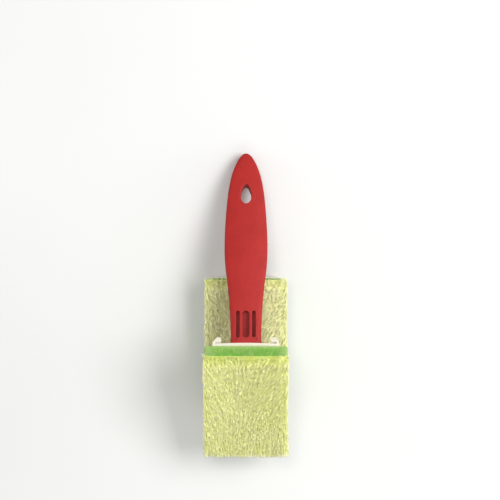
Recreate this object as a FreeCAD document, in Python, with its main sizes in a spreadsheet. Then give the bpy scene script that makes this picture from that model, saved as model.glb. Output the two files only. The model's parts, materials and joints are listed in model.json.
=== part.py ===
import FreeCAD, Part
import math
import os
import re
import sys

import Sketcher

# Paint pad edger: a moulded handle whose foot slides into a replaceable pad, and one spare pad.
# Millimetres. The tool lies face up across its spare pad like a low roof: X is the width, +Y runs up the
# handle to its hanging end, +Z is up. Z = 0 is the surface it lies on, and X = Y = 0 is under the middle
# of the whole.
#
# Two local frames are used. The pad frame has its origin at the middle of the edge where the plate's
# back meets its handle end, +Y towards the handle and +Z out of the pile. The handle frame has its
# origin at the knee, where the neck meets the foot, +Y along the grip and +Z out of its front.

Vector = FreeCAD.Vector

DIMENSIONS = [
    # pad: foam and pile
    ("pad_width", 50.0, "foam and pile, side to side"),
    ("pad_length", 73.0, "foam and pile, along the rails"),
    ("pad_corner", 1.5, "corner radius of the foam in plan"),
    ("foam_thick", 10.0, "open-cell foam"),
    ("pile_thick", 3.8, "backing cloth and fibres"),
    ("pile_overhang", 0.8, "fibres standing past the foam on each side"),
    # pad: moulded plate with its two rails
    ("plate_width", 39.6, "plate across the rails"),
    ("plate_length", 69.0, "plate along the rails"),
    ("plate_thick", 1.7, "plate"),
    ("plate_arch_radius", 240.0, "handle end of the plate bows outwards"),
    ("rail_length", 42.0, "rails, from the handle end"),
    ("rail_depth", 6.7, "rails behind the plate, at their crest"),
    ("rail_flank", 1.8, "upright part of a rail's outer side"),
    ("rail_crest_half", 17.4, "centre line to the outer edge of a rail's crest"),
    ("rail_crest_flat", 1.4, "width of that flat crest"),
    ("rail_lip_half", 14.7, "centre line to the inner end of a lip"),
    ("rail_lip_drop", 1.0, "lip's inner end below its crest"),
    ("rail_slot_half", 18.1, "centre line to the bottom of a slot"),
    ("rail_slot_depth", 2.4, "slot between plate and lip"),
    ("rail_round", 0.4, "rounding of the lips"),
    ("stop_thick", 2.0, "cross wall that stops the foot"),
    ("stop_depth", 4.8, "height of that wall"),
    ("rib_thick", 1.4, "stiffening ribs beyond the stop"),
    ("rib_depth", 1.6, "height of those ribs"),
    ("rib_spacing", 11.0, "between those ribs"),
    # handle: grip, from the knee to the hanging end
    ("grip_length", 119.3, "knee to hanging end"),
    ("grip_thick_half", 4.7, "half the thickness at the belly"),
    ("neck_thick_half", 3.7, "half the thickness at the knee"),
    ("tip_thick_half", 3.3, "half the thickness at the hanging end"),
    ("belly_at", 59.0, "knee to the thickest section"),
    ("crown_radius", 45.0, "crown across front and back"),
    ("edge_round", 2.3, "rounding round the grip's outline"),
    ("neck_half", 9.05, "half the width at the knee"),
    ("tip_half", 2.7, "outline control point at the hanging end"),
    ("shoulder_half", 7.1, "outline control point"),
    ("shoulder_from_tip", 7.5, "outline control point"),
    ("upper_half", 11.5, "outline control point"),
    ("upper_from_tip", 22.3, "outline control point"),
    ("belly_half", 14.1, "outline control point"),
    ("belly_from_tip", 68.8, "outline control point"),
    ("waist_half", 10.05, "outline control point"),
    ("waist_from_tip", 84.2, "outline control point"),
    ("neck_from_tip", 113.5, "outline control point"),
    # handle: hanging hole
    ("hang_from_tip", 26.7, "hanging end to the middle of the hole"),
    ("hang_half_length", 6.1, "half the length of the hole"),
    ("hang_half_width", 3.4, "half its width at the widest, at most"),
    ("hang_top_half", 1.05, "outline control point at its upper end"),
    ("hang_upper_half", 2.45, "outline control point"),
    ("hang_upper_rise", 3.75, "outline control point"),
    ("hang_lower_half", 4.05, "outline control point"),
    ("hang_lower_drop", 2.7, "outline control point"),
    ("hang_bottom_half", 1.75, "outline control point at its lower end"),
    ("hang_rim", 0.6, "chamfer round the hole"),
    # handle: cored flutes in the front of the neck
    ("flute_start", 3.3, "knee to the lower ends of the flutes"),
    ("flute_length", 16.4, "length of the flutes"),
    ("flute_wide_half", 2.2, "half the width of the middle flute"),
    ("flute_slim_half", 1.15, "half the width of an outer flute"),
    ("flute_pitch", 4.75, "middle flute to outer flute"),
    ("flute_floor", -1.2, "flute floors from the neck's mid-plane, under the knee"),
    ("flute_slope", 5.0, "degrees that the floors fall towards the knee"),
    ("dot_radius", 0.8, "ejector marks below the flutes"),
    ("dot_pitch_half", 6.1, "centre line to an ejector mark"),
    ("dot_from_knee", 1.9, "knee to the ejector marks"),
    ("dot_depth", 0.5, "depth of the ejector marks"),
    # handle: foot
    ("foot_half", 17.95, "half the width of the foot's edges in the slots"),
    ("foot_length", 40.0, "plate's handle end to the foot's far end"),
    ("foot_thick", 2.25, "foot's edges in the slots"),
    ("foot_gap", 0.06, "running clearance to the plate"),
    ("foot_shoulder", 6.5, "where the foot reaches its full width"),
    ("foot_lead_in", 3.5, "tapered far corners"),
    ("foot_shoulder_half", 9.7, "half the width at the knee"),
    ("knee_out", 0.7, "knee beyond the plate's handle end"),
    ("knee_drop", 0.5, "knee behind the plate's back"),
    ("keel_half", 8.0, "half the width of the keel under the foot"),
    ("keel_end_depth", 3.8, "keel's depth at its far end"),
    ("keel_root_depth", 7.2, "keel's depth at the neck"),
    ("keel_short", 2.0, "keel ends this much before the foot"),
    ("keel_round", 1.2, "rounding along the keel"),
    ("knee_gusset", 13.0, "where the keel starts to curve into the neck"),
    ("gusset_radius", 17.0, "that curve"),
    ("gusset_foot_y", 1.6, "where it meets the neck's back, in the pad frame"),
    ("gusset_foot_z", 13.0, "the same, behind the plate"),
    # how it lies
    ("pad_slope", 27.0, "degrees, pad to the surface it lies over"),
    ("handle_slope", 21.895, "degrees, grip to the surface"),
    ("apex_height", 51.4, "plate's handle end above the surface"),
    ("apex_along", -19.36, "plate's handle end from the middle of the whole"),
    ("spare_along", 34.0, "spare pad's handle end beyond the tool's"),
]

doc = FreeCAD.newDocument("paint_pad_edger")
dims = doc.addObject("Spreadsheet::Sheet", "dims")
for row, (alias, value, note) in enumerate(DIMENSIONS, start=1):
    dims.set(f"A{row}", alias)
    dims.set(f"B{row}", str(value))
    dims.set(f"C{row}", note)
    dims.setAlias(f"B{row}", alias)
doc.recompute()


# ---------------------------------------------------------------- helpers


ALIAS = re.compile(r"(?<![\w.])(" + "|".join(alias for alias, _, _ in DIMENSIONS) + r")(?!\w)")


def sheet_names(expression):
    """The expression with each bare alias written as the sheet's own."""
    return ALIAS.sub(r"dims.\1", expression)


def value_of(expression):
    return float(dims.evalExpression(sheet_names(expression)))


def new_body(name):
    body = doc.addObject("PartDesign::Body", name)
    body.Label = name
    return body


def origin_feature(body, role):
    return next(f for f in body.Origin.OriginFeatures if f.Role == role)


def new_sketch(body, name, role):
    sketch = body.newObject("Sketcher::SketchObject", name)
    sketch.AttachmentSupport = [(origin_feature(body, role), "")]
    sketch.MapMode = "FlatFace"
    return sketch


def fix_point(sketch, geometry, position, x_rule, y_rule):
    """Holds one point of the sketch at two expressions."""
    for kind, axis, rule in (("DistanceX", -2, x_rule), ("DistanceY", -1, y_rule)):
        value = value_of(rule)
        if abs(value) < 1e-9:
            sketch.addConstraint(Sketcher.Constraint("PointOnObject", geometry, position, axis))
        else:
            index = sketch.addConstraint(Sketcher.Constraint(kind, -1, 1, geometry, position, value))
            sketch.setExpression(f"Constraints[{index}]", sheet_names(rule))


def point_at(corner):
    return Vector(value_of(corner[0]), value_of(corner[1]), 0)


def anticlockwise_arc(centre, first, last):
    """The arc about centre from first to last, the way round that a sketch needs."""
    begin = math.atan2(first.y - centre.y, first.x - centre.x)
    end = math.atan2(last.y - centre.y, last.x - centre.x)
    if end < begin:
        end += 2 * math.pi
    circle = Part.Circle(centre, Vector(0, 0, 1), (first - centre).Length)
    return Part.ArcOfCircle(circle, begin, end)


def add_arc(sketch, first, last, radius, bulge):
    """An arc from first to last, swelling to the left for bulge 1 and to the right for -1.

    Returns the arc and which of its two ends lie at first and last.
    """
    chord = last - first
    side = Vector(-chord.y, chord.x, 0).normalize() * bulge
    centre = (first + last) / 2 - side * math.sqrt(radius**2 - (chord.Length / 2) ** 2)
    if bulge > 0:
        return sketch.addGeometry(anticlockwise_arc(centre, last, first), False), (2, 1)
    return sketch.addGeometry(anticlockwise_arc(centre, first, last), False), (1, 2)


def add_outline(sketch, corners):
    """A closed outline through corners, each a pair of expressions.

    A straight line leaves each corner, or an arc where two more items give its radius and its bulge.
    """
    edges = []
    for corner, after in zip(corners, corners[1:] + corners[:1]):
        first, last = point_at(corner), point_at(after)
        if len(corner) == 2:
            line = sketch.addGeometry(Part.LineSegment(first, last), False)
            edges.append((line, (1, 2)))
        else:
            edges.append(add_arc(sketch, first, last, value_of(corner[2]), corner[3]))
    for (edge, ends), (after, after_ends) in zip(edges, edges[1:] + edges[:1]):
        sketch.addConstraint(Sketcher.Constraint("Coincident", edge, ends[1], after, after_ends[0]))
    for (edge, ends), corner in zip(edges, corners):
        fix_point(sketch, edge, ends[0], corner[0], corner[1])
        if len(corner) > 2:
            radius = Sketcher.Constraint("Radius", edge, value_of(corner[2]))
            index = sketch.addConstraint(radius)
            sketch.setExpression(f"Constraints[{index}]", sheet_names(corner[2]))


def add_rectangle(sketch, low, high):
    add_outline(sketch, [low, (high[0], low[1]), high, (low[0], high[1])])


def add_slot(sketch, centre, half_width, half_straight):
    """A slot along the sketch's Y axis: two straight sides with a half circle at each end."""
    x, y = centre
    radius = value_of(half_width)
    reach = value_of(half_straight)
    middle = Vector(value_of(x), value_of(y), 0)
    corners = [
        (f"{x} + {half_width}", f"{y} - {half_straight}"),
        (f"{x} + {half_width}", f"{y} + {half_straight}"),
        (f"{x} - {half_width}", f"{y} + {half_straight}"),
        (f"{x} - {half_width}", f"{y} - {half_straight}"),
    ]
    points = [Vector(value_of(a), value_of(b), 0) for a, b in corners]
    right = sketch.addGeometry(Part.LineSegment(points[0], points[1]), False)
    top_centre = middle + Vector(0, reach, 0)
    top = sketch.addGeometry(anticlockwise_arc(top_centre, points[1], points[2]), False)
    left = sketch.addGeometry(Part.LineSegment(points[2], points[3]), False)
    bottom_centre = middle - Vector(0, reach, 0)
    bottom = sketch.addGeometry(anticlockwise_arc(bottom_centre, points[3], points[0]), False)
    for line, start, end in ((right, 0, 1), (left, 2, 3)):
        fix_point(sketch, line, 1, *corners[start])
        fix_point(sketch, line, 2, *corners[end])
    # An arc of a sketch runs anticlockwise, so both arcs begin where the line before them ends.
    sketch.addConstraint(Sketcher.Constraint("Coincident", right, 2, top, 1))
    sketch.addConstraint(Sketcher.Constraint("Coincident", top, 2, left, 1))
    sketch.addConstraint(Sketcher.Constraint("Coincident", left, 2, bottom, 1))
    sketch.addConstraint(Sketcher.Constraint("Coincident", bottom, 2, right, 1))
    for arc, rule in ((top, f"{y} + {half_straight}"), (bottom, f"{y} - {half_straight}")):
        index = sketch.addConstraint(Sketcher.Constraint("DistanceY", -1, 1, arc, 3, value_of(rule)))
        sketch.setExpression(f"Constraints[{index}]", sheet_names(rule))


def add_spline(sketch, poles):
    """A cubic spline whose control points are pairs of expressions."""
    points = [Vector(value_of(x), value_of(y), 0) for x, y in poles]
    curve = Part.BSplineCurve(points, None, None, False, 3, None, False)
    spline = sketch.addGeometry(curve, False)
    circles = []
    for index, point in enumerate(points):
        circle = sketch.addGeometry(Part.Circle(point, Vector(0, 0, 1), 1.0), True)
        if circles:
            sketch.addConstraint(Sketcher.Constraint("Equal", circles[0], circle))
        else:
            sketch.addConstraint(Sketcher.Constraint("Weight", circle, 1.0))
        kind = "InternalAlignment:Sketcher::BSplineControlPoint"
        sketch.addConstraint(Sketcher.Constraint(kind, circle, 3, spline, index))
        circles.append(circle)
    for circle, (x_rule, y_rule) in zip(circles, poles):
        fix_point(sketch, circle, 3, x_rule, y_rule)
    return spline


def pad(body, sketch, length, symmetric=False, reverse=False):
    feature = body.newObject("PartDesign::Pad", sketch.Name + "_pad")
    feature.Profile = sketch
    feature.setExpression("Length", sheet_names(length))
    feature.Midplane = symmetric
    feature.Reversed = reverse
    doc.recompute()
    return feature


def must_remove(before, body, what):
    """A cut that points away from the solid removes nothing and reports no error."""
    doc.recompute()
    if not body.Shape.Volume < before - 1e-3:
        sys.exit(f"{what} removed nothing")


def pocket(body, sketch, length, symmetric=False, reverse=False):
    before = body.Shape.Volume
    feature = body.newObject("PartDesign::Pocket", sketch.Name + "_pocket")
    feature.Profile = sketch
    feature.setExpression("Length", sheet_names(length))
    feature.Midplane = symmetric
    feature.Reversed = reverse
    must_remove(before, body, feature.Name)
    return feature


def dress(body, kind, name, size, wanted):
    """A Fillet or Chamfer on each edge of the body that wanted accepts."""
    doc.recompute()
    base = body.Tip
    edges = [f"Edge{i}" for i, edge in enumerate(base.Shape.Edges, start=1) if wanted(edge)]
    feature = body.newObject(f"PartDesign::{kind}", name)
    feature.Base = (base, edges)
    feature.setExpression("Radius" if kind == "Fillet" else "Size", sheet_names(size))
    doc.recompute()
    return feature


def tilt(feature, angle, y_rule, z_rule):
    """Turns a placed thing about X by an expression in degrees and sets its Y and Z."""
    feature.Placement = FreeCAD.Placement(Vector(0, 0, 0), FreeCAD.Rotation(Vector(1, 0, 0), 1))
    feature.setExpression("Placement.Rotation.Angle", sheet_names(angle))
    feature.setExpression("Placement.Base.y", sheet_names(y_rule))
    feature.setExpression("Placement.Base.z", sheet_names(z_rule))


# ---------------------------------------------------------------- handle

BEND = "(pad_slope + handle_slope)"


def offset_to_pad_frame(sketch, plane_axis, across):
    """Moves a sketch of the handle's body from the handle frame to the pad frame.

    plane_axis is the sketch's own direction that lies along X. across is the pad frame's origin in the
    sketch's plane, as expressions for the sketch's offset.
    """
    start = FreeCAD.Rotation(plane_axis, 1)
    sketch.AttachmentOffset = FreeCAD.Placement(Vector(0, 0, 0), start)
    sketch.setExpression("AttachmentOffset.Rotation.Angle", sheet_names(BEND))
    for axis, rule in across.items():
        sketch.setExpression(f"AttachmentOffset.Base.{axis}", sheet_names(rule))


# The pad frame's origin seen from the handle frame: back from the knee along the foot and up to the plate.
PAD_ORIGIN_Y = f"(-knee_out * cos({BEND}) - knee_drop * sin({BEND}))"
PAD_ORIGIN_Z = f"(neck_thick_half - knee_out * sin({BEND}) + knee_drop * cos({BEND}))"


def depth_behind_plate(point):
    """How far a point of the handle frame lies behind the plate's back."""
    bend = math.radians(value_of(BEND))
    along = point.y - value_of(PAD_ORIGIN_Y)
    up = point.z - value_of(PAD_ORIGIN_Z)
    return along * math.sin(bend) - up * math.cos(bend)


def grip_outline(body):
    """The grip in plan: a spline down each side from the hanging end, closed by the knee."""
    sketch = new_sketch(body, "grip_outline", "XY_Plane")
    half_outline = [
        ("0", "grip_length"),
        ("tip_half", "grip_length"),
        ("shoulder_half", "grip_length - shoulder_from_tip"),
        ("upper_half", "grip_length - upper_from_tip"),
        ("belly_half", "grip_length - belly_from_tip"),
        ("waist_half", "grip_length - waist_from_tip"),
        ("neck_half", "grip_length - neck_from_tip"),
        ("neck_half", "0"),
    ]
    right = add_spline(sketch, half_outline)
    left = add_spline(sketch, [(f"-{x}" if x != "0" else x, y) for x, y in half_outline])
    half = value_of("neck_half")
    knee = sketch.addGeometry(Part.LineSegment(Vector(half, 0, 0), Vector(-half, 0, 0)), False)
    sketch.addConstraint(Sketcher.Constraint("Coincident", knee, 1, right, 2))
    sketch.addConstraint(Sketcher.Constraint("Coincident", knee, 2, left, 2))
    return sketch


def hole_outline(body):
    """The hanging hole: a pointed oval, wider towards the knee, with a spline down each side."""
    sketch = new_sketch(body, "hanging_hole", "XY_Plane")
    middle = "grip_length - hang_from_tip"
    half_outline = [
        ("0", f"{middle} + hang_half_length"),
        ("hang_top_half", f"{middle} + hang_half_length"),
        ("hang_upper_half", f"{middle} + hang_upper_rise"),
        ("hang_lower_half", f"{middle} - hang_lower_drop"),
        ("hang_bottom_half", f"{middle} - hang_half_length"),
        ("0", f"{middle} - hang_half_length"),
    ]
    add_spline(sketch, half_outline)
    add_spline(sketch, [(f"-{x}" if x != "0" else x, y) for x, y in half_outline])
    return sketch


def arc_radius(run, rise):
    """Radius of an arc that leaves its crest level and falls by rise over run."""
    return f"({run} * {run} / (2 * {rise}) + {rise} / 2)"


def crown_groove(body, face):
    """Cuts the front or back to a crown that also follows the belly.

    The cut is a ring about an axis along the grip, crown_radius inside the face.
    """
    before = body.Shape.Volume
    sign = {"front": "", "back": "-"}[face]
    bulge = {"front": 1, "back": -1}[face]
    sketch = new_sketch(body, face + "_crown", "YZ_Plane")
    past_knee = "-8"
    past_tip = "grip_length + 8"
    outside = f"{sign}(grip_thick_half + 8)"
    to_knee = arc_radius("(belly_at + 8)", "(grip_thick_half - neck_thick_half)")
    to_tip = arc_radius("(grip_length + 8 - belly_at)", "(grip_thick_half - tip_thick_half)")
    add_outline(
        sketch,
        [
            (past_knee, f"{sign}neck_thick_half", to_knee, bulge),
            ("belly_at", f"{sign}grip_thick_half", to_tip, bulge),
            (past_tip, f"{sign}tip_thick_half"),
            (past_tip, outside),
            (past_knee, outside),
        ],
    )
    height = f"-({sign}(crown_radius - neck_thick_half))"
    start, end = point_at(("0", height)), point_at(("10", height))
    axis = sketch.addGeometry(Part.LineSegment(start, end), True)
    fix_point(sketch, axis, 1, "0", height)
    fix_point(sketch, axis, 2, "10", height)
    groove = body.newObject("PartDesign::Groove", sketch.Name + "_groove")
    groove.Profile = sketch
    groove.ReferenceAxis = (sketch, ["Axis0"])
    groove.Angle = 360
    must_remove(before, body, groove.Name)


def cut_flutes(body):
    """Three cored flutes in the neck's front. Their floors slope deeper towards the knee."""
    middle = "(flute_start + flute_length / 2)"
    for place, offset, half_width in (
        ("left", "-flute_pitch", "flute_slim_half"),
        ("middle", "0", "flute_wide_half"),
        ("right", "flute_pitch", "flute_slim_half"),
    ):
        floor = new_sketch(body, f"flute_{place}", "XY_Plane")
        turn = FreeCAD.Rotation(Vector(1, 0, 0), 1)
        floor.AttachmentOffset = FreeCAD.Placement(Vector(0, 0, 0), turn)
        floor.setExpression("AttachmentOffset.Rotation.Angle", sheet_names("flute_slope"))
        floor.setExpression("AttachmentOffset.Base.z", sheet_names("flute_floor"))
        add_slot(floor, (offset, middle), half_width, f"(flute_length / 2 - {half_width})")
        pocket(body, floor, "3 * grip_thick_half", reverse=True)


def mark_dots(body):
    """Two shallow ejector marks on the cross bar below the flutes."""
    for place, side in (("left", "-"), ("right", "")):
        dot = new_sketch(body, f"dot_{place}", "XY_Plane")
        dot.setExpression("AttachmentOffset.Base.z", sheet_names("neck_thick_half - dot_depth - 0.3"))
        circle = dot.addGeometry(Part.Circle(Vector(0, 0, 0), Vector(0, 0, 1), 1), False)
        index = dot.addConstraint(Sketcher.Constraint("Radius", circle, value_of("dot_radius")))
        dot.setExpression(f"Constraints[{index}]", sheet_names("dot_radius"))
        fix_point(dot, circle, 3, f"{side}dot_pitch_half", "dot_from_knee")
        pocket(body, dot, "grip_thick_half", reverse=True)


def build_handle():
    body = new_body("handle")
    pad(body, grip_outline(body), "2 * grip_thick_half + 1", symmetric=True)
    crown_groove(body, "front")
    crown_groove(body, "back")
    dress(body, "Fillet", "grip_edges", "edge_round", lambda edge: edge.Length > 60)

    pocket(body, hole_outline(body), "grip_thick_half * 4", symmetric=True)
    hole_low = value_of("grip_length - hang_from_tip - hang_half_length") - 0.5
    hole_high = value_of("grip_length - hang_from_tip + hang_half_length") + 0.5
    hole_side = value_of("hang_half_width") + 0.1

    def on_hole_rim(edge):
        box = edge.BoundBox
        inside = box.YMin > hole_low and box.YMax < hole_high
        return inside and max(-box.XMin, box.XMax) < hole_side and box.ZLength < 2

    dress(body, "Chamfer", "hanging_hole_rim", "hang_rim", on_hole_rim)

    # Foot: flat edges that run in the rails' slots, with a keel below that carries on from the neck.
    foot = new_sketch(body, "foot_edges", "XY_Plane")
    add_outline(
        foot,
        [
            ("-neck_half", "knee_out"),
            ("-foot_shoulder_half", "-1"),
            ("-foot_half", "-foot_shoulder"),
            ("-foot_half", "foot_lead_in - foot_length"),
            ("foot_lead_in - foot_half", "-foot_length"),
            ("foot_half - foot_lead_in", "-foot_length"),
            ("foot_half", "foot_lead_in - foot_length"),
            ("foot_half", "-foot_shoulder"),
            ("foot_shoulder_half", "-1"),
            ("neck_half", "knee_out"),
        ],
    )
    top_y = f"{PAD_ORIGIN_Y} + foot_gap * sin({BEND})"
    top_z = f"{PAD_ORIGIN_Z} - foot_gap * cos({BEND})"
    offset_to_pad_frame(foot, Vector(1, 0, 0), {"y": top_y, "z": top_z})
    pad(body, foot, "foot_thick", reverse=True)

    keel = new_sketch(body, "keel", "YZ_Plane")
    inside_foot = "-(foot_gap + 0.6)"
    add_outline(
        keel,
        [
            ("keel_short - foot_length", inside_foot),
            ("keel_short - foot_length + 1", "-keel_end_depth"),
            ("-knee_gusset", "-keel_root_depth", "gusset_radius", 1),
            ("gusset_foot_y", "-gusset_foot_z"),
            ("0.2", "-2.5"),
            ("0.2", inside_foot),
        ],
    )
    offset_to_pad_frame(keel, Vector(0, 0, 1), {"x": PAD_ORIGIN_Y, "y": PAD_ORIGIN_Z})
    pad(body, keel, "2 * keel_half", symmetric=True)
    half = value_of("keel_half")
    foot_back = value_of("foot_gap + foot_thick")

    def on_keel_edge(edge):
        box = edge.BoundBox
        at_side = box.XLength < 0.01 and abs(abs(box.XMin) - half) < 0.01
        middle = edge.valueAt((edge.FirstParameter + edge.LastParameter) / 2)
        return at_side and edge.Length > 10 and depth_behind_plate(middle) > foot_back + 0.5

    dress(body, "Fillet", "keel_edges", "keel_round", on_keel_edge)
    cut_flutes(body)
    mark_dots(body)
    return body


# ---------------------------------------------------------------- pads


def build_plate(name):
    """The moulded plate: a flat back with two inward-facing rails, a stop and stiffening ribs."""
    body = new_body(name)
    plan = new_sketch(body, "plan", "XY_Plane")
    half = "plate_width / 2"
    add_outline(
        plan,
        [
            (f"-{half}", "0"),
            (f"-{half}", "-plate_length"),
            (half, "-plate_length"),
            (half, "0", "plate_arch_radius", -1),
        ],
    )
    pad(body, plan, "plate_thick")

    rail = new_sketch(body, "rail", "XZ_Plane")
    bite = "0.4"
    add_outline(
        rail,
        [
            (half, bite),
            (half, "-rail_flank"),
            ("rail_crest_half", "-rail_depth"),
            ("rail_crest_half - rail_crest_flat", "-rail_depth"),
            ("rail_lip_half", "rail_lip_drop - rail_depth"),
            ("rail_lip_half", "-rail_slot_depth"),
            ("rail_slot_half", "-rail_slot_depth"),
            ("rail_slot_half", bite),
        ],
    )
    rails = pad(body, rail, "rail_length")
    mirror = body.newObject("PartDesign::Mirrored", "rails")
    mirror.Originals = [rails]
    mirror.MirrorPlane = (origin_feature(body, "YZ_Plane"), [""])
    body.Tip = mirror
    doc.recompute()

    stop = new_sketch(body, "stop", "XY_Plane")
    stop_near = "-rail_length"
    stop_far = "-rail_length - stop_thick"
    add_rectangle(stop, ("-rail_slot_half - 1", stop_far), ("rail_slot_half + 1", stop_near))
    pad(body, stop, "stop_depth", reverse=True)
    for index in (1, 2):
        rib = new_sketch(body, f"rib_{index}", "XY_Plane")
        near = f"{stop_far} - {index - 1} * rib_spacing - 7"
        add_rectangle(rib, (f"-{half}", f"{near} - rib_thick"), (half, near))
        pad(body, rib, "rib_depth", reverse=True)

    crest = value_of("-rail_depth")
    lip_end = value_of("rail_lip_drop - rail_depth")

    def on_lip(edge):
        box = edge.BoundBox
        long_run = box.YLength > value_of("rail_length") * 0.9
        return long_run and min(abs(box.ZMin - crest), abs(box.ZMin - lip_end)) < 0.01

    dress(body, "Fillet", "lip_edges", "rail_round", on_lip)
    return body


def build_slab(name, lift, thick, overhang, corner):
    """A soft layer of the pad: a slab with rounded corners, lift above the plate's back."""
    body = new_body(name)
    sketch = new_sketch(body, "plan", "XY_Plane")
    sketch.setExpression("AttachmentOffset.Base.z", sheet_names(lift))
    half = f"pad_width / 2 + {overhang}"
    add_rectangle(sketch, (f"-({half})", f"-(pad_length + {overhang})"), (half, overhang))
    pad(body, sketch, thick)
    depth = value_of(thick)

    def is_upright(edge):
        return abs(edge.BoundBox.ZLength - depth) < 0.01

    dress(body, "Fillet", "corners", corner, is_upright)
    return body


def build_pad(prefix):
    """One pad: plate, foam and pile, bonded to each other."""
    plate = build_plate(prefix + "_plate")
    foam = build_slab(prefix + "_foam", "plate_thick", "foam_thick", "0", "pad_corner")
    pile_lift = "plate_thick + foam_thick"
    pile = build_slab(prefix + "_pile", pile_lift, "pile_thick", "pile_overhang", "pad_corner * 1.5")
    return [plate, foam, pile]


# ---------------------------------------------------------------- assembly

handle = build_handle()
tool_pad = build_pad("pad")
spare_pad = build_pad("spare")

for piece in tool_pad:
    tilt(piece, "pad_slope", "apex_along", "apex_height")
for piece in spare_pad:
    piece.setExpression("Placement.Base.y", sheet_names("apex_along + spare_along"))
    piece.setExpression("Placement.Base.z", sheet_names("rail_depth"))

# The knee's place above the plate's handle end, then back along the grip's normal to its mid-plane.
knee_y = "apex_along + knee_out * cos(pad_slope) + knee_drop * sin(pad_slope)"
knee_z = "apex_height + knee_out * sin(pad_slope) - knee_drop * cos(pad_slope)"
tilt(
    handle,
    "-handle_slope",
    f"{knee_y} - neck_thick_half * sin(handle_slope)",
    f"{knee_z} - neck_thick_half * cos(handle_slope)",
)
doc.recompute()

# ---------------------------------------------------------------- check and write

for thing in doc.Objects:
    if "Invalid" in thing.State or "Error" in thing.State:
        sys.exit(f"{thing.Name} failed: {thing.State}")

os.makedirs("parts", exist_ok=True)
for body in [handle] + tool_pad + spare_pad:
    shape = body.Shape
    if shape.isNull() or not shape.isValid() or len(shape.Solids) != 1:
        sys.exit(f"{body.Label} isn't one valid solid")
    box = shape.BoundBox
    print(
        f"{body.Label}: {shape.Volume / 1000:.2f} cm3,"
        f" x {box.XMin:.2f}..{box.XMax:.2f}, y {box.YMin:.2f}..{box.YMax:.2f},"
        f" z {box.ZMin:.2f}..{box.ZMax:.2f}"
    )
    shape.exportStep(f"parts/{body.Label}.step")
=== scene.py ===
import json
import math

import bpy
import numpy as np
from mathutils import Matrix, Vector, kdtree, noise


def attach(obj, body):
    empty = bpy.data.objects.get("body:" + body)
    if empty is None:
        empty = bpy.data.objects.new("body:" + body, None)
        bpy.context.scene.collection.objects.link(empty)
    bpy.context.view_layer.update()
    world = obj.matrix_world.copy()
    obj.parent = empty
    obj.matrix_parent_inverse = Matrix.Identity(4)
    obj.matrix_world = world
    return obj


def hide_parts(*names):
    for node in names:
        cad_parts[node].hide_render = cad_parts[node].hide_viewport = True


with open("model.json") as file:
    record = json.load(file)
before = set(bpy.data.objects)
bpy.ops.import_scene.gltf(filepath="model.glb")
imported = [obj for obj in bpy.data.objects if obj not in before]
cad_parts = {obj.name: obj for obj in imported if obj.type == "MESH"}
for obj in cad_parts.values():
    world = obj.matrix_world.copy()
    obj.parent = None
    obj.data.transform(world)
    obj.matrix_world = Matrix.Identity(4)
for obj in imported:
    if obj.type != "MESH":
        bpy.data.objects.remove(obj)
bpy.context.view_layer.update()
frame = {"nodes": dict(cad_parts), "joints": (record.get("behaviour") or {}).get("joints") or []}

# Paint pad edger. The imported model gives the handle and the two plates, which stay and get their
# materials here. The foam slabs, backing cloths and naps of both pads are built in mesh code and stand
# for their plain CAD solids. Metres throughout.

MM = 0.001
TINY = 1e-12


# ---------------------------------------------------------------- node helpers


def feed(tree, socket, value):
    """Gives an input socket its value: another socket is linked, anything else is set."""
    if isinstance(value, bpy.types.NodeSocket):
        tree.links.new(value, socket)
    else:
        socket.default_value = value


def add_node(tree, kind, inputs=(), **settings):
    """A shader node. Each input is a socket to link or a value to set."""
    made = tree.nodes.new("ShaderNode" + kind)
    for name, value in settings.items():
        setattr(made, name, value)
    for name, value in dict(inputs).items():
        feed(tree, made.inputs[name], value)
    return made


def new_material(name, **fixed):
    """A material with its tree and Principled shader, whose fixed sockets are set directly."""
    material = bpy.data.materials.new(name)
    material.use_nodes = True
    tree = material.node_tree
    shader = tree.nodes["Principled BSDF"]
    for socket, value in fixed.items():
        shader.inputs[socket.replace("_", " ")].default_value = value
    return material, tree, shader


def own_coordinates(tree, scale=(1, 1, 1)):
    """The piece's own coordinates in metres, stretched by scale."""
    place = add_node(tree, "TexCoord")
    mapping = add_node(tree, "Mapping", {"Vector": place.outputs["Object"], "Scale": scale})
    return mapping.outputs["Vector"]


def noise_of(tree, vector, scale, detail, roughness=0.5):
    """Noise of 0..1 with features of about 1 / scale."""
    made = add_node(
        tree,
        "TexNoise",
        {"Vector": vector, "Scale": scale, "Detail": detail, "Roughness": roughness},
    )
    return made.outputs["Fac"]


def spread(tree, value, low, high, to_low=0.0, to_high=1.0):
    """value from low..high onto to_low..to_high, clamped."""
    made = add_node(
        tree,
        "MapRange",
        {"Value": value, "From Min": low, "From Max": high, "To Min": to_low, "To Max": to_high},
    )
    return made.outputs["Result"]


def blend_colours(tree, factor, first, second):
    """From the first colour to the second. A Mix node's colours are its inputs 6 and 7."""
    made = add_node(tree, "Mix", {0: factor, 6: first, 7: second}, data_type="RGBA")
    return made.outputs[2]


def maths(tree, operation, first, second):
    made = add_node(tree, "Math", {0: first, 1: second}, operation=operation)
    return made.outputs["Value"]


def bump(tree, height, distance, strength, under=None):
    """A bump's normal, laid over the one under it if there is one."""
    inputs = {"Height": height, "Distance": distance, "Strength": strength}
    if under is not None:
        inputs["Normal"] = under
    return add_node(tree, "Bump", inputs).outputs["Normal"]


def colour(red, green, blue):
    """A linear colour from sRGB display values of 0 to 255."""
    linear = [
        v / 12.92 if v <= 0.04045 else ((v + 0.055) / 1.055) ** 2.4
        for v in (red / 255, green / 255, blue / 255)
    ]
    return (*linear, 1.0)


# ---------------------------------------------------------------- materials


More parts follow.
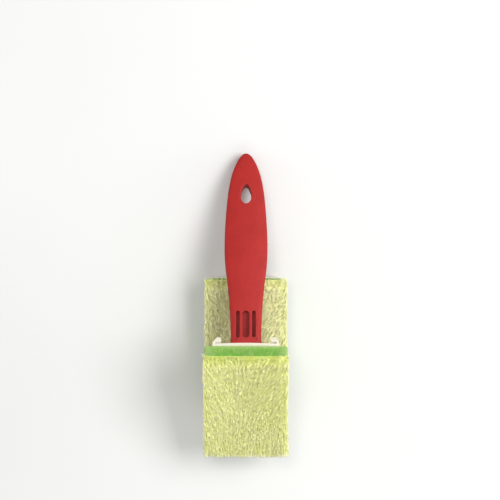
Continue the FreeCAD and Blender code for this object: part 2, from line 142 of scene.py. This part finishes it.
def moulded_plastic(name, base, darker, wear_and_highlight, roughness, grain, **fixed):
    """Moulded plastic: fine spark-eroded grain, faint flow marks, scuffs, and sharp edges paled partly
    by wear and partly by a painted highlight.
    """
    material, tree, shader = new_material(name, IOR=1.49, **fixed)
    place = own_coordinates(tree)
    along = own_coordinates(tree, (420, 34, 420))
    scratched = own_coordinates(tree, (1900, 170, 1900))
    mottle = noise_of(tree, place, 95, 3)
    flow = noise_of(tree, along, 1, 3)
    scuffs = spread(tree, noise_of(tree, scratched, 1, 2, 0.6), 0.66, 0.76)
    fine = noise_of(tree, place, 5200, 2, 0.6)
    coarse = noise_of(tree, place, 640, 2)

    # Sharp edges are where the rounded normal leaves the true one.
    rounded = add_node(tree, "Bevel", {"Radius": 0.45 * MM}, samples=4)
    geometry = add_node(tree, "NewGeometry")
    facing = add_node(
        tree,
        "VectorMath",
        {0: rounded.outputs["Normal"], 1: geometry.outputs["Normal"]},
        operation="DOT_PRODUCT",
    )
    edges = spread(tree, facing.outputs["Value"], 0.995, 0.90)
    # Paler sharp edges: partly rubbed wear, partly a painted highlight where the ridges catch light.
    edge_wear_and_highlight = maths(tree, "MULTIPLY", edges, spread(tree, mottle, 0.35, 0.65, 0.25, 0.9))

    shade = blend_colours(tree, spread(tree, mottle, 0.3, 0.7, 0.0, 0.55), base, darker)
    shade = blend_colours(tree, spread(tree, flow, 0.35, 0.75, 0.0, 0.3), shade, darker)
    shade = blend_colours(tree, maths(tree, "MULTIPLY", scuffs, 0.35), shade, wear_and_highlight)
    shade = blend_colours(tree, maths(tree, "MULTIPLY", edge_wear_and_highlight, 0.55), shade, wear_and_highlight)
    tree.links.new(shade, shader.inputs["Base Color"])

    gloss = spread(tree, coarse, 0.3, 0.7, roughness - 0.06, roughness + 0.07)
    gloss = maths(tree, "ADD", gloss, maths(tree, "MULTIPLY", scuffs, 0.16))
    tree.links.new(gloss, shader.inputs["Roughness"])

    normal = bump(tree, coarse, 0.03 * MM, 0.5)
    normal = bump(tree, fine, grain, 0.7, normal)
    normal = bump(tree, scuffs, -0.01 * MM, 0.6, normal)
    tree.links.new(normal, shader.inputs["Normal"])
    return material


def foam_material():
    """Open-cell foam: pores darkened with painted shade between pale cell walls, mottled, with a
    painted highlight along the plate-side face and paler towards both sides.
    """
    material, tree, shader = new_material("open_cell_foam", Roughness=0.93, IOR=1.35)
    place = own_coordinates(tree)
    upright = own_coordinates(tree, (900, 900, 190))
    pores = add_node(tree, "TexVoronoi", {"Vector": place, "Scale": 1300}, feature="SMOOTH_F1")
    cells = spread(tree, pores.outputs["Distance"], 0.08, 0.5)
    mottle = noise_of(tree, place, 190, 4, 0.65)
    patches = noise_of(tree, place, 60, 2)
    streaks = noise_of(tree, upright, 1, 2)
    share = add_node(tree, "TexCoord").outputs["Generated"]
    share = add_node(tree, "SeparateXYZ", {"Vector": share}).outputs
    shade = blend_colours(
        tree, spread(tree, mottle, 0.36, 0.64), colour(98, 172, 56), colour(156, 190, 98)
    )
    shade = blend_colours(
        tree, spread(tree, patches, 0.42, 0.66, 0.0, 0.7), shade, colour(140, 172, 96)
    )
    shade = blend_colours(
        tree, spread(tree, streaks, 0.45, 0.7, 0.0, 0.6), shade, colour(88, 160, 50)
    )
    # Painted highlight: paler along the plate-side face, where light catches the foam's edge, and
    # paler towards both sides.
    from_middle = maths(tree, "ABSOLUTE", maths(tree, "SUBTRACT", share["X"], 0.5), 0.0)
    pale = maths(
        tree,
        "MAXIMUM",
        spread(tree, share["Z"], 0.34, 0.0, 0.0, 0.75),
        spread(tree, from_middle, 0.34, 0.5, 0.0, 0.75),
    )
    shade = blend_colours(tree, pale, shade, colour(186, 208, 136))
    # Painted shade: the colour darkens where the pore bump sinks the surface.
    shade = blend_colours(tree, maths(tree, "MULTIPLY", cells, 0.4), shade, colour(72, 122, 40))
    tree.links.new(shade, shader.inputs["Base Color"])
    normal = bump(tree, cells, -0.2 * MM, 0.8)
    normal = bump(tree, mottle, 0.25 * MM, 0.5, normal)
    tree.links.new(normal, shader.inputs["Normal"])
    return material


def backing_material():
    """Knitted backing cloth, seen between the fibres and from the sides."""
    material, tree, shader = new_material("nap_backing_cloth", Roughness=0.9, Sheen_Weight=0.2)
    place = own_coordinates(tree)
    ribs = add_node(
        tree,
        "TexWave",
        {"Vector": place, "Scale": 330, "Distortion": 1.2, "Detail": 2},
        bands_direction="X",
    )
    courses = add_node(
        tree,
        "TexWave",
        {"Vector": place, "Scale": 260, "Distortion": 1.5, "Detail": 2},
        bands_direction="Y",
    )
    knit = maths(tree, "MULTIPLY", ribs.outputs["Fac"], courses.outputs["Fac"])
    shade = blend_colours(tree, knit, colour(196, 204, 96), colour(224, 228, 132))
    tree.links.new(shade, shader.inputs["Base Color"])
    tree.links.new(bump(tree, knit, 0.12 * MM, 0.8), shader.inputs["Normal"])
    return material


def nap_material(name, roots, middles, tips):
    """Synthetic fibres: greener and darker at the root, lighter at the tip, each fibre a little
    lighter or darker than the next, and paler as a painted highlight at the pad's sides and corners.
    """
    material, tree, shader = new_material(
        name, Roughness=0.62, IOR=1.45, Sheen_Weight=0.25, Sheen_Roughness=0.45
    )
    along = add_node(tree, "Attribute", attribute_name="along").outputs["Fac"]
    tone_and_highlight = add_node(tree, "Attribute", attribute_name="tone_and_highlight").outputs["Fac"]
    place = own_coordinates(tree)
    mottle = noise_of(tree, place, 130, 3, 0.6)
    grain = noise_of(tree, place, 2600, 2, 0.6)
    shade = blend_colours(tree, spread(tree, along, 0.02, 0.5), roots, middles)
    shade = blend_colours(tree, spread(tree, along, 0.45, 1.0), shade, tips)
    shade = blend_colours(tree, spread(tree, tone_and_highlight, 0.5, 0.0, 0.0, 0.6), shade, roots)
    shade = blend_colours(tree, spread(tree, tone_and_highlight, 0.5, 1.0, 0.0, 0.7), shade, tips)
    shade = blend_colours(tree, spread(tree, mottle, 0.4, 0.75, 0.0, 0.35), shade, middles)
    tree.links.new(shade, shader.inputs["Base Color"])
    tree.links.new(bump(tree, grain, 0.02 * MM, 0.5), shader.inputs["Normal"])
    return material


def floor_material():
    """A pale, dull floor with a faint mottle."""
    material, tree, shader = new_material("pale_floor", Roughness=0.85)
    place = own_coordinates(tree)
    soft = noise_of(tree, place, 5, 2)
    shade = blend_colours(tree, soft, colour(204, 204, 202), colour(212, 212, 210))
    tree.links.new(shade, shader.inputs["Base Color"])
    return material


# ---------------------------------------------------------------- mesh helpers


def new_piece(name, points, faces, turn, material):
    """A smooth object whose mesh is in a pad's own axes and which turn places in the row frame."""
    mesh = bpy.data.meshes.new(name)
    mesh.from_pydata(points.tolist(), [], faces.tolist())
    mesh.materials.append(material)
    mesh.polygons.foreach_set("use_smooth", [True] * len(mesh.polygons))
    mesh.update()
    piece = bpy.data.objects.new(name, mesh)
    piece.matrix_world = turn.to_4x4()
    bpy.context.scene.collection.objects.link(piece)
    return piece


def local_box(node, turn):
    """Lowest and highest corner of a CAD node along a pad's own axes."""
    corners = np.array([v.co for v in frame["nodes"][node].data.vertices])
    local = corners @ np.array(turn)
    return local.min(0), local.max(0)


def box_grid(low, high, cells):
    """A closed box of square-ish cells: welded points and quads that face outwards."""
    cells = np.array(cells)
    faces = []
    for axis in range(3):
        across, up = (axis + 1) % 3, (axis + 2) % 3
        i, j = np.meshgrid(np.arange(cells[across]), np.arange(cells[up]), indexing="ij")
        for side in (0, 1):
            quad = np.zeros((*i.shape, 4, 3), int)
            for corner, (di, dj) in enumerate(((0, 0), (1, 0), (1, 1), (0, 1))):
                quad[..., corner, across] = i + di
                quad[..., corner, up] = j + dj
            quad[..., axis] = side * cells[axis]
            quad = quad.reshape(-1, 4, 3)
            faces.append(quad if side else quad[:, ::-1])
    keys = np.concatenate(faces).reshape(-1, 3)
    keys, index = np.unique(keys, axis=0, return_inverse=True)
    return low + keys / cells * (high - low), index.reshape(-1, 4)


def round_corners(points, low, high, corner, edge):
    """Rounds a slab's four upright corners, then the edges of its two faces. In place.

    Returns how far inside the slab's outline each point is, and the outline's normal there.
    """
    middle, half = (low + high) / 2, (high - low) / 2
    inner = np.clip(points[:, :2], low[:2] + corner, high[:2] - corner)
    out = points[:, :2] - inner
    size = np.linalg.norm(out, axis=1)
    share = np.abs(out).max(1) / np.maximum(size, TINY)
    points[:, :2] = inner + out * share[:, None]

    reach = np.abs(points[:, :2] - middle[:2]) - (half[:2] - corner)
    past = np.maximum(reach, 0)
    outside = np.linalg.norm(past, axis=1)
    inside = corner - outside - np.minimum(reach.max(1), 0)
    flat = (reach == reach.max(1)[:, None]).astype(float)
    normal = np.where(outside[:, None] > 0, past / np.maximum(outside, TINY)[:, None], flat)
    normal = normal * np.sign(points[:, :2] - middle[:2])

    rim = np.clip(edge - inside, 0, edge)
    rise = np.clip(np.abs(points[:, 2] - middle[2]) - (half[2] - edge), 0, edge)
    share = np.maximum(rim, rise) / np.maximum(np.hypot(rim, rise), TINY)
    points[:, :2] -= normal * (rim * (1 - share))[:, None]
    points[:, 2] -= np.sign(points[:, 2] - middle[2]) * rise * (1 - share)
    return inside, normal


def noise_at(points, scale, shift):
    """Smooth noise of about -1..1 at each point, with features of 1 / scale metres."""
    moved = points * scale + shift
    return np.array([noise.noise(Vector(p)) for p in moved])


# ---------------------------------------------------------------- foam

CUT_CORNER = 1.5 * MM
FOAM_CELL = 0.5 * MM
FOAM_EDGE = 0.7 * MM
SIDE_PULL = 0.45 * MM
SIDE_WAVE = 0.18 * MM
PIT_DEPTH = 0.32 * MM
PITS_PER_METRE = 900
FOAM_GRAIN = 0.05 * MM
BOND_MARGIN = 1.0 * MM


def build_foam(name, node, turn, seed, material):
    """A die-cut slab of open-cell foam: its sides pull in between the two bonded faces."""
    low, high = local_box(node, turn)
    cells = np.maximum(np.round((high - low) / FOAM_CELL), 4).astype(int)
    points, faces = box_grid(low, high, cells)
    inside, normal = round_corners(points, low, high, CUT_CORNER, FOAM_EDGE)
    middle, half = (low + high) / 2, (high - low) / 2
    level = (points[:, 2] - middle[2]) / half[2]
    at_side = np.clip(1 - inside / CUT_CORNER, 0, 1)
    pull = SIDE_PULL * (1 - level**2) * at_side
    wave = SIDE_WAVE * noise_at(points, 90, seed) * at_side
    points[:, :2] -= normal * (pull + wave)[:, None]

    # Pits are round each pore's middle. The bonded faces are flat but for their rims.
    pores = np.array([noise.voronoi(Vector(p))[0][0] for p in points * PITS_PER_METRE + seed])
    depth = np.clip(0.55 - pores, 0, 1) * PIT_DEPTH + noise_at(points, 1500, seed) * FOAM_GRAIN
    bonded = np.clip((np.abs(level) - 0.9) / 0.1, 0, 1) * np.clip(inside / BOND_MARGIN, 0, 1)
    outward = np.zeros_like(points)
    outward[:, :2] = normal * at_side[:, None]
    outward[:, 2] = np.sign(level) * (1 - at_side)
    points -= outward * (depth * (1 - bonded))[:, None]
    return new_piece(name, points, faces, turn, material)


# ---------------------------------------------------------------- backing cloth and nap

BACKING_THICK = 1.5 * MM
BACKING_CELLS = np.array([84, 122, 4])
BACKING_EDGE = 0.6 * MM
BACKING_RELIEF = 0.3 * MM


def build_backing(name, node, turn, seed, material):
    """The cloth with the dense base of the pile, cut to the foam and bonded to it."""
    low, high = local_box(node, turn)
    foam_low, foam_high = local_box(node.replace("pile", "foam"), turn)
    low[:2], high[:2] = foam_low[:2], foam_high[:2]
    high[2] = low[2] + BACKING_THICK
    points, faces = box_grid(low, high, BACKING_CELLS)
    round_corners(points, low, high, CUT_CORNER, BACKING_EDGE)
    rise = np.clip((points[:, 2] - low[2]) / BACKING_THICK, 0, 1)
    points[:, 2] += rise * noise_at(points, 420, seed) * BACKING_RELIEF
    return new_piece(name, points, faces, turn, material)


# Locks and fibres are counted across and along the pad, and the overhang is past its sides and ends.
LOCKS = (48, 62)
LOCK_JITTER = 0.48
FIBRES = (88, 128)
FIBRE_JITTER = 0.5
ROOT_DEPTH = 0.55
RIM_FIBRES = 1150
RIM_BAND = 4.5 * MM
ROOT_MARGIN = 0.1 * MM
FIBRE_LENGTH = 5.4 * MM
FIBRE_RADIUS = (0.12 * MM, 0.17 * MM)
OVERHANG = np.array([1.65, 3.2]) * MM
STREAK_GRAIN = 0.42 * MM
STREAK_STEPS = 11

# Widths of the bands in which fibres fan out over the handle end, the sides and the corners.
END_BAND = 4.2 * MM
SIDE_BAND = 2.0 * MM
CORNER_BAND = 3.6 * MM

# A fibre's rings, as shares of its length, with its thickness at each. The last one is its tip.
STATIONS = (0.0, 0.36, 0.7, 1.0)
TAPER = (1.0, 0.95, 0.7, 0.0)
RING_ANGLES = (90, 210, 330)
RING_WIDE = 1.25
RING_THICK = 0.8


# The two halves of the nap lean towards a line at this share of the pad's width, by up to these
# angles in radians. Near the far end they lean by less.
MEETING_LINE = 0.38
MEETING_BAND = 0.17
RIGHT_LEAN = 0.74
LEFT_LEAN = 0.40
FAR_END_SHARE = 0.16


def combed(u, v):
    """Direction that the nap lies in, as an angle from the far end's direction, positive to +X.

    u runs 0..1 across the pad, and v runs 0..1 from the far end to the handle end.
    """
    upper = np.clip((v - 0.18) / 0.5, 0, 1)
    side = np.tanh((u - MEETING_LINE) / MEETING_BAND)
    lean = np.where(side > 0, -RIGHT_LEAN * side, -LEFT_LEAN * side)
    return lean * (FAR_END_SHARE + (1 - FAR_END_SHARE) * upper)


def streaks(draw, places, size):
    """Tufting along the nap's lay, about -2..2: random grains averaged down its flow lines."""
    count = np.ceil(size / STREAK_GRAIN).astype(int)
    grains = draw.normal(0, 1, count)
    total = np.zeros(len(places))
    for way in (-1, 1):
        at = places.copy()
        for _ in range(STREAK_STEPS):
            cell = np.clip(at / STREAK_GRAIN, 0, count - 1).astype(int)
            total += grains[cell[:, 0], cell[:, 1]]
            angle = combed(at[:, 0] / size[0], at[:, 1] / size[1])
            at += way * np.c_[np.sin(angle), -np.cos(angle)] * STREAK_GRAIN
    return total / total.std()


def spikes(root, peak, end, width):
    """Closed, tapering three-sided spikes on curves that leave root for peak and end at end.

    Gives each spike's points, how far along it each of them is, and its triangles.
    """
    count = len(root)
    points, along = [], []
    up = np.array([0.0, 0.0, 1.0])
    for s, share in zip(STATIONS, TAPER):
        centre = root * (1 - s) ** 2 + peak * 2 * s * (1 - s) + end * s**2
        if share == 0:
            points.append(centre[:, None, :])
            along.append(np.ones((count, 1)))
            continue
        heading = (peak - root) * (1 - s) + (end - peak) * s
        heading /= np.linalg.norm(heading, axis=1)[:, None]
        across = np.cross(heading, up)
        across /= np.maximum(np.linalg.norm(across, axis=1), 1e-9)[:, None]
        lift = np.cross(across, heading)
        ring = []
        for degrees in RING_ANGLES:
            wide = across * math.cos(math.radians(degrees)) * RING_WIDE
            thick = lift * math.sin(math.radians(degrees)) * RING_THICK
            ring.append(centre + (wide + thick) * (width * share)[:, None])
        points.append(np.stack(ring, 1))
        along.append(np.full((count, 3), s))
    points = np.concatenate(points, 1)
    along = np.concatenate(along, 1)

    # Points 0 to 8 are the three rings and 9 is the tip.
    pattern = [(0, 2, 1)]
    for ring in (0, 3):
        for k in range(3):
            a, b = ring + k, ring + (k + 1) % 3
            pattern += [(a, b, b + 3), (a, b + 3, a + 3)]
    pattern += [(6, 7, 9), (7, 8, 9), (8, 6, 9)]
    faces = (np.arange(count) * points.shape[1])[:, None, None] + np.array(pattern)
    return points, along, faces


def build_nap(name, node, turn, seed, material):
    """Short fibres in locks, combed one way and fanning out at the edges."""
    draw = np.random.default_rng(seed)
    low, high = local_box(node, turn)
    foam_low, foam_high = local_box(node.replace("pile", "foam"), turn)
    ground = low[2] + BACKING_THICK * ROOT_DEPTH
    ceiling = high[2] - ground
    size = (foam_high - foam_low)[:2]

    def scattered(across, along, jitter):
        i, j = np.meshgrid(np.arange(across), np.arange(along), indexing="ij")
        cell = np.stack([i.ravel(), j.ravel()], 1) + 0.5
        cell = cell + draw.uniform(-jitter, jitter, cell.shape)
        return cell / (across, along) * size

    # Each lock strays from the combing in broad and fine swirls, and a little by chance.
    locks = scattered(*LOCKS, LOCK_JITTER)
    flat_locks = np.c_[locks, np.zeros(len(locks))]
    angle = combed(locks[:, 0] / size[0], locks[:, 1] / size[1])
    angle = angle + 0.16 * noise_at(flat_locks, 85, seed)
    angle = angle + 0.05 * noise_at(flat_locks, 330, seed + 7)
    angle = angle + draw.normal(0, 0.05, len(locks))
    reach = draw.normal(1.0, 0.12, len(locks)).clip(0.6, 1.4)

    # Extra fibres near the handle end, where the nap parts and would show its backing.
    rim = draw.uniform((0, 0), (1, 1), (RIM_FIBRES, 2)) * (size[0], RIM_BAND)
    rim[:, 1] = size[1] - rim[:, 1]
    roots = np.concatenate([scattered(*FIBRES, FIBRE_JITTER), rim])
    roots = roots.clip(ROOT_MARGIN, size - ROOT_MARGIN)
    lookup = kdtree.KDTree(len(locks))
    for index, lock in enumerate(flat_locks):
        lookup.insert(lock, index)
    lookup.balance()
    nearest = np.array([lookup.find((x, y, 0))[1] for x, y in roots])
    tuft = streaks(draw, roots, size)

    count = len(roots)
    turnings = angle[nearest] + draw.normal(0, 0.08, count)
    length = FIBRE_LENGTH * reach[nearest] * draw.normal(1.0, 0.1, count).clip(0.6, 1.3)
    height = ceiling * (0.8 + 0.08 * tuft + draw.normal(0, 0.03, count)).clip(0.5, 0.97)

    # Fibres lean out over the handle end and fan outwards at every edge.
    top = np.clip(1 - (size[1] - roots[:, 1]) / END_BAND, 0, 1)
    from_side = np.minimum(roots[:, 0], size[0] - roots[:, 0])
    side = np.clip(1 - from_side / SIDE_BAND, 0, 1)
    outward = np.sign(roots[:, 0] - size[0] / 2)
    corner = top * np.clip(1 - from_side / CORNER_BAND, 0, 1)
    step = np.c_[np.sin(turnings), -np.cos(turnings)]
    flick = draw.normal(0.14, 0.16, count) + 0.6 * corner
    step[:, 1] = step[:, 1] * (1 - top) + top * flick
    step[:, 0] = step[:, 0] * (1 - 0.5 * side) + side * outward * 0.4
    tip = roots + step * length[:, None]

    # Away from the edges, the tips draw together within their lock.
    lock_step = np.c_[np.sin(angle), -np.cos(angle)] * (FIBRE_LENGTH * reach)[:, None]
    gather = (0.3 * (1 - top) * (1 - side))[:, None]
    tip = tip * (1 - gather) + (locks + lock_step)[nearest] * gather

    # No fibre passes the foam by more than the overhang, and those that pass it droop.
    past = np.maximum(tip - size, -tip).clip(0, None)
    tip -= np.sign(tip - size / 2) * np.maximum(past - OVERHANG, 0)
    over = np.minimum(past, OVERHANG)
    height = height - 0.7 * over[:, 0] - 0.15 * over[:, 1]

    root = np.c_[foam_low[:2] + roots, np.full(count, ground)]
    peak = root + np.c_[step * (length * 0.14)[:, None], height * 1.2]
    end = np.c_[foam_low[:2] + tip, ground + height * draw.uniform(0.76, 1.0, count)]
    width = draw.uniform(*FIBRE_RADIUS, count)

    points, along, faces = spikes(root, peak, end, width)
    piece = new_piece(name, points.reshape(-1, 3), faces.reshape(-1, 3), turn, material)
    along = along * (1 - 0.7 * top * (1 - corner))[:, None]
    # Painted highlight: fibres at the pad's sides and at the handle-end corners are made paler;
    # tufting and chance vary the rest.
    tone_and_highlight = 0.52 + 0.17 * tuft + 0.4 * corner + 0.22 * side + draw.normal(0, 0.06, count)
    tone_and_highlight = np.repeat(tone_and_highlight.clip(0, 1)[:, None], points.shape[1], 1)
    for title, values in (("along", along), ("tone_and_highlight", tone_and_highlight)):
        attribute = piece.data.attributes.new(title, "FLOAT", "POINT")
        attribute.data.foreach_set("value", values.astype(np.float32).ravel())
    return piece


# ---------------------------------------------------------------- the object

red = moulded_plastic(
    "red_polypropylene",
    colour(158, 32, 28),
    colour(142, 25, 23),
    colour(206, 84, 78),
    roughness=0.5,
    grain=0.02 * MM,
    Specular_IOR_Level=0.22,
)
white = moulded_plastic(
    "warm_white_styrene",
    colour(224, 221, 202),
    colour(214, 209, 186),
    colour(236, 234, 222),
    roughness=0.4,
    grain=0.012 * MM,
    Subsurface_Weight=0.08,
    Subsurface_Scale=0.002,
)
for node, material in (("handle", red), ("pad_plate", white), ("spare_plate", white)):
    frame["nodes"][node].data.materials[0] = material

foam = foam_material()
backing_cloth = backing_material()
tool_nap = nap_material(
    "combed_nap", colour(190, 210, 74), colour(238, 240, 144), colour(252, 250, 192)
)
# The spare's nap is the same nap painted paler: painted light that brightens the spare where it lies
# under the tool.
spare_nap_painted_lighter = nap_material(
    "nap_painted_lighter", colour(210, 220, 106), colour(251, 252, 176), colour(255, 255, 214)
)

# The tool's pad slides off along its own length, so its slope follows from that joint's axis.
slide_axis = next(Vector(j["axis"]) for j in frame["joints"] if j["name"] == "pad_slide")
pad_across = Vector((1, 0, 0))
pad_along = -slide_axis.normalized()
pad_turn = Matrix((pad_across, pad_along, pad_across.cross(pad_along))).transposed()

for prefix, body, turn, seed, finish in (
    ("pad", "tool_pad", pad_turn, 11, tool_nap),
    ("spare", "spare_pad", Matrix.Identity(3), 29, spare_nap_painted_lighter),
):
    slab = build_foam(f"{prefix}_foam_slab", f"{prefix}_foam", turn, seed, foam)
    backing = build_backing(f"{prefix}_backing", f"{prefix}_pile", turn, seed, backing_cloth)
    nap = build_nap(f"{prefix}_nap", f"{prefix}_pile", turn, seed, finish)
    for piece, node, slot in (
        (slab, f"{prefix}_foam", "foam"),
        (backing, f"{prefix}_pile", "pile"),
        (nap, f"{prefix}_pile", "pile"),
    ):
        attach(piece, body)
        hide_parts(node)


# ---------------------------------------------------------------- floor, light and camera

REACH = 3.0
FLOOR_DROP = 0.05 * MM
floor_mesh = bpy.data.meshes.new("floor")
floor_mesh.from_pydata(
    [(-REACH, -REACH, 0), (REACH, -REACH, 0), (REACH, REACH, 0), (-REACH, REACH, 0)],
    [],
    [(0, 1, 2, 3)],
)
floor_mesh.materials.append(floor_material())
floor = bpy.data.objects.new("floor", floor_mesh)
floor.location.z = -FLOOR_DROP
bpy.context.scene.collection.objects.link(floor)


LIT_POINT = Vector((0, 0, 0.03))


def area_light(name, place, size, power):
    """A white rectangular light that faces the object."""
    light = bpy.data.lights.new(name, "AREA")
    light.shape = "RECTANGLE"
    light.size, light.size_y = size
    light.energy = power
    lamp = bpy.data.objects.new(name, light)
    lamp.location = place
    lamp.rotation_mode = "QUATERNION"
    lamp.rotation_quaternion = (LIT_POINT - lamp.location).to_track_quat("-Z", "Y")
    bpy.context.scene.collection.objects.link(lamp)


# The fill hangs nearly over the neck, so that light reaches down into its flutes.
area_light("key", (0.7, 0.25, 0.95), (0.75, 0.6), 12.8)
area_light("fill", (-0.12, 0.32, 1.0), (0.3, 0.3), 2.6)
area_light("left_strip", (-0.9, 0.1, 0.22), (0.6, 0.2), 1.6)
area_light("right_strip", (0.9, 0.1, 0.22), (0.6, 0.2), 1.6)
area_light("front", (0.25, -0.85, 0.75), (1.0, 0.6), 2.8)

world = bpy.data.worlds.new("studio")
world.use_nodes = True
world.node_tree.nodes["Background"].inputs["Color"].default_value = (1, 1, 1, 1)
world.node_tree.nodes["Background"].inputs["Strength"].default_value = 0.52
bpy.context.scene.world = world
bpy.context.scene.view_settings.view_transform = "Standard"

# The view is from above, with the camera leaning six degrees towards the handle end.
AIM = Vector((2.4 * MM, 31.2 * MM, 0))
DISTANCE = 0.955
LEAN = math.radians(6)
LENS_MM = 110.45
SENSOR_MM = 36
camera_data = bpy.data.cameras.new("camera")
camera_data.sensor_width = SENSOR_MM
camera_data.lens = LENS_MM
camera = bpy.data.objects.new("camera", camera_data)
away = Vector((0, math.sin(LEAN), math.cos(LEAN)))
camera.location = AIM + away * DISTANCE
camera.rotation_euler = (-LEAN, 0, 0)
bpy.context.scene.collection.objects.link(camera)
bpy.context.scene.camera = camera
